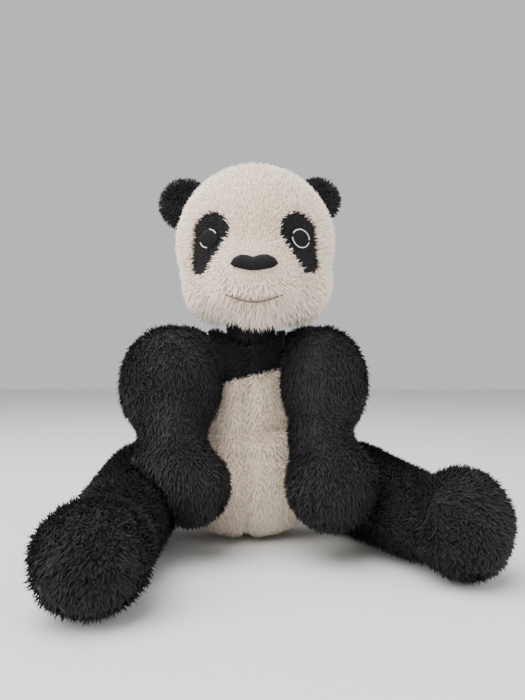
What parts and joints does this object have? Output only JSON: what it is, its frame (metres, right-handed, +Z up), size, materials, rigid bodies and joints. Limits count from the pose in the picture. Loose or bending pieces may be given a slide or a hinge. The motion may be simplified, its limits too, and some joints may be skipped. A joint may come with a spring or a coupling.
{
  "type": "plush panda",
  "caption": "Seated floppy plush panda: cream pile head and belly, black pile ears, eye patches, yoke, long stuffed arms and legs with round feet.",
  "frame": {"origin": "middle of the flat that the panda sits on", "axes": "+Z up, the panda faces -Y, +X is the panda's own left"},
  "size_m": [0.203, 0.1696, 0.2078],
  "materials": {
    "cream_pile": "soft short cut pile, brushed and slightly clumped",
    "black_pile": "soft short cut pile with a faint sheen",
    "black_thread": "satin-stitch embroidery",
    "white_thread": "a single fine line of stitching round each eye",
    "brown_thread": "single line of stitching",
    "fibre_stuffing": "loose white fibre",
    "woven_label": "blank woven tape"
  },
  "bodies": {
    "torso": {"torso_stuffing": "fibre_stuffing", "seat_panel": "cream_pile", "chest_yoke": "black_pile", "back_yoke": "black_pile", "belly_panel_left": "cream_pile", "belly_panel_right": "cream_pile", "back_panel_left": "cream_pile", "back_panel_right": "cream_pile", "care_label": "woven_label"},
    "neck": {"neck_stuffing": "fibre_stuffing"},
    "head": {"head_stuffing": "fibre_stuffing", "face_cover": "cream_pile", "head_back_left": "cream_pile", "head_back_right": "cream_pile", "eye_patch_left": "black_pile", "eye_patch_right": "black_pile", "eye_left": "black_thread", "eye_right": "black_thread", "eye_ring_left": "white_thread", "eye_ring_right": "white_thread", "nose": "black_thread", "mouth": "brown_thread"},
    "ear_right": {"ear_front_right": "black_pile", "ear_back_right": "black_pile"},
    "upper_arm_right": {"upper_arm_front_right": "black_pile", "upper_arm_back_right": "black_pile", "upper_arm_stuffing_right": "fibre_stuffing"},
    "paw_right": {"paw_front_right": "black_pile", "paw_back_right": "black_pile", "paw_stuffing_right": "fibre_stuffing"},
    "leg_right": {"leg_top_right": "black_pile", "leg_underside_right": "black_pile", "leg_stuffing_right": "fibre_stuffing"},
    "foot_right": {"foot_cover_right": "black_pile", "sole_panel_right": "black_pile", "foot_stuffing_right": "fibre_stuffing"},
    "ear_left": {"ear_front_left": "black_pile", "ear_back_left": "black_pile"},
    "upper_arm_left": {"upper_arm_front_left": "black_pile", "upper_arm_back_left": "black_pile", "upper_arm_stuffing_left": "fibre_stuffing"},
    "paw_left": {"paw_front_left": "black_pile", "paw_back_left": "black_pile", "paw_stuffing_left": "fibre_stuffing"},
    "leg_left": {"leg_top_left": "black_pile", "leg_underside_left": "black_pile", "leg_stuffing_left": "fibre_stuffing"},
    "foot_left": {"foot_cover_left": "black_pile", "sole_panel_left": "black_pile", "foot_stuffing_left": "fibre_stuffing"}
  },
  "joints": [
    {"name": "neck_turn", "type": "hinge", "parent": "torso", "child": "neck", "pos_m": [0.0025, -0.0015, 0.1178], "axis": [0, 0, 1], "range_deg": [-20, 20], "stiffness_Nm_per_rad": 0.25},
    {"name": "neck_nod", "type": "hinge", "parent": "neck", "child": "head", "pos_m": [0.0025, -0.0015, 0.1178], "axis": [1, 0, 0], "range_deg": [-6, 6], "stiffness_Nm_per_rad": 0.4},
    {"name": "ear_flop_right", "type": "hinge", "parent": "head", "child": "ear_right", "pos_m": [-0.03316, -0.002, 0.18665], "axis": [0.5299, 0, 0.848], "range_deg": [-12, 12], "stiffness_Nm_per_rad": 0.004},
    {"name": "ear_flop_left", "type": "hinge", "parent": "head", "child": "ear_left", "pos_m": [0.04046, -0.002, 0.1905], "axis": [0.6157, 0, -0.788], "range_deg": [-12, 12], "stiffness_Nm_per_rad": 0.004},
    {"name": "shoulder_right", "type": "hinge", "parent": "torso", "child": "upper_arm_right", "pos_m": [-0.03383, -0.002, 0.101], "axis": [-1, 0, 0], "range_deg": [0, 15]},
    {"name": "elbow_right", "type": "hinge", "parent": "upper_arm_right", "child": "paw_right", "pos_m": [-0.03683, -0.0385, 0.06], "axis": [-1, 0, 0], "range_deg": [0, 30]},
    {"name": "shoulder_left", "type": "hinge", "parent": "torso", "child": "upper_arm_left", "pos_m": [0.03383, -0.002, 0.101], "axis": [-1, 0, 0], "range_deg": [0, 15]},
    {"name": "elbow_left", "type": "hinge", "parent": "upper_arm_left", "child": "paw_left", "pos_m": [0.03783, -0.035, 0.059], "axis": [-1, 0, 0], "range_deg": [0, 30]},
    {"name": "hip_right", "type": "hinge", "parent": "torso", "child": "leg_right", "pos_m": [-0.058, 0.003, 0.026], "axis": [0, 0, -1], "range_deg": [0, 35]},
    {"name": "ankle_right", "type": "hinge", "parent": "leg_right", "child": "foot_right", "pos_m": [-0.05507, -0.08095, 0.021], "axis": [0, 0, -1], "range_deg": [-12, 18]},
    {"name": "hip_left", "type": "hinge", "parent": "torso", "child": "leg_left", "pos_m": [0.061, 0.003, 0.026], "axis": [0, 0, 1], "range_deg": [0, 35]},
    {"name": "ankle_left", "type": "hinge", "parent": "leg_left", "child": "foot_left", "pos_m": [0.08824, -0.05046, 0.021], "axis": [0, 0, 1], "range_deg": [-12, 18]}
  ]
}
